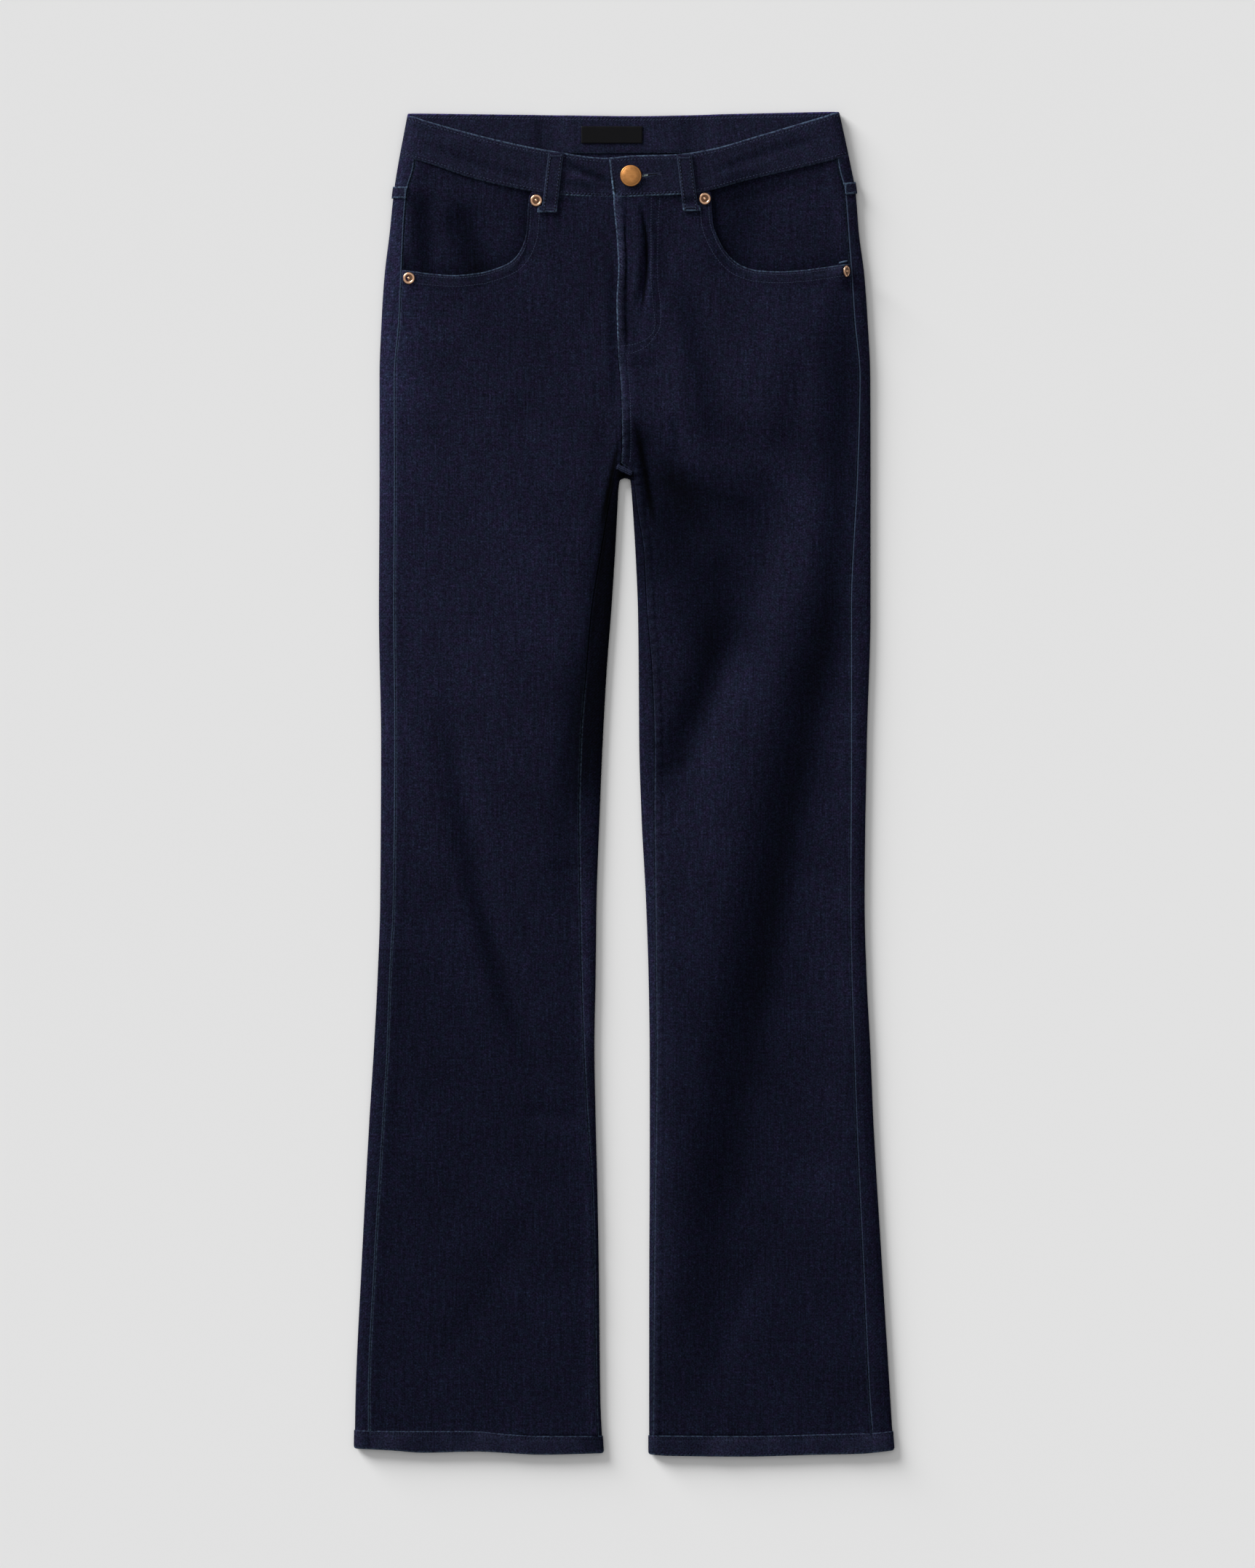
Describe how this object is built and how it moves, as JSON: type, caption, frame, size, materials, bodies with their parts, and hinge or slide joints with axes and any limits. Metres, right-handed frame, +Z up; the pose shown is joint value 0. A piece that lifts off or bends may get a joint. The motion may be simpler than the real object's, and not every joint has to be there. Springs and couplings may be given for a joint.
{
  "type": "bootcut jeans",
  "caption": "Bootcut jeans laid flat, front up: curved waistband with belt loops, lapped zip fly, scoop front pockets, yoked back with patch pockets, flared legs with turned-up hems.",
  "frame": {"origin": "on the surface the jeans lie on, under the middle of the laid outline", "axes": "+Y from the hems to the waist, +X to the wearer's left, +Z up out of the front of the jeans"},
  "size_m": [0.4356, 1.0829, 0.0144],
  "materials": {
    "denim": "dark indigo stretch denim, matt twill",
    "zip_tape": "woven tape with closed chain",
    "label_satin": "black woven satin, bare",
    "button_brass": "brushed antique brass",
    "rivet_metal": "polished rose-gold plate"
  },
  "bodies": {
    "root": {"front_right": "denim", "front_left": "denim", "pocket_facing_right": "denim", "pocket_facing_left": "denim", "fly_shield": "denim", "zip": "zip_tape", "back_right": "denim", "back_left": "denim", "yoke_right": "denim", "yoke_left": "denim", "waistband": "denim", "belt_loop_front_right": "denim", "belt_loop_front_left": "denim", "belt_loop_side_right": "denim", "belt_loop_side_left": "denim", "belt_loop_back": "denim", "back_pocket_right": "denim", "back_pocket_left": "denim", "label": "label_satin", "hem_right": "denim", "hem_left": "denim", "button": "button_brass", "rivet_1": "rivet_metal", "rivet_2": "rivet_metal", "rivet_3": "rivet_metal", "rivet_4": "rivet_metal"}
  },
  "joints": []
}
